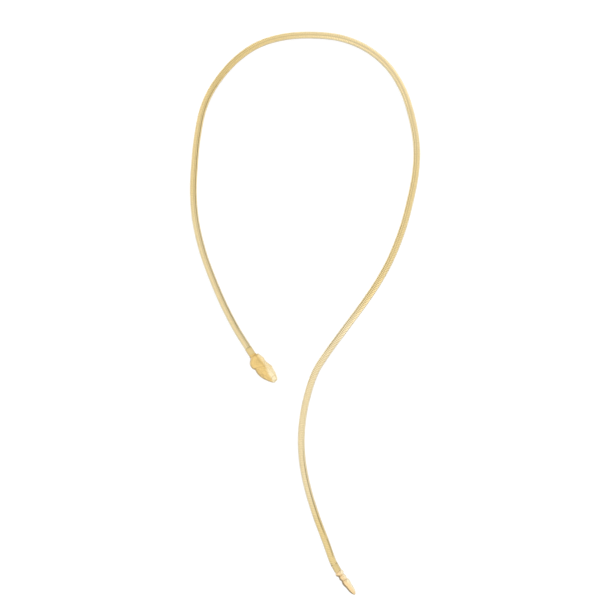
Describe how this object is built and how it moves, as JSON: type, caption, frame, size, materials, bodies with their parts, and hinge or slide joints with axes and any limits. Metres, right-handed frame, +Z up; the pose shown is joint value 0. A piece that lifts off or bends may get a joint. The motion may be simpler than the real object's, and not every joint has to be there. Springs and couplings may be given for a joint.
{
  "type": "snake necklace",
  "caption": "Open-ended snake-chain lariat laid flat, with a cast snake's head on one end, a cast tail on the other and a ferrule at each end of the round chain.",
  "frame": {"origin": "on the surface that the necklace lies on, under the middle of its outline", "axes": "+Z up from the surface, +Y from the free ends towards the back of the neck, +X to the right seen from above, where the tail's stretch comes down"},
  "size_m": [0.1311, 0.3204, 0.0069],
  "materials": {
    "chain_gold": "pale gold plate on fine round links, satin from a distance",
    "ferrule_gold": "polished gold plate",
    "head_gold": "polished cast gold plate, darker in the recesses",
    "tail_gold": "polished cast gold plate"
  },
  "bodies": {
    "root": {"chain": "chain_gold", "neck_ferrule": "ferrule_gold", "head": "head_gold", "tail_ferrule": "ferrule_gold", "tail": "tail_gold"}
  },
  "joints": []
}
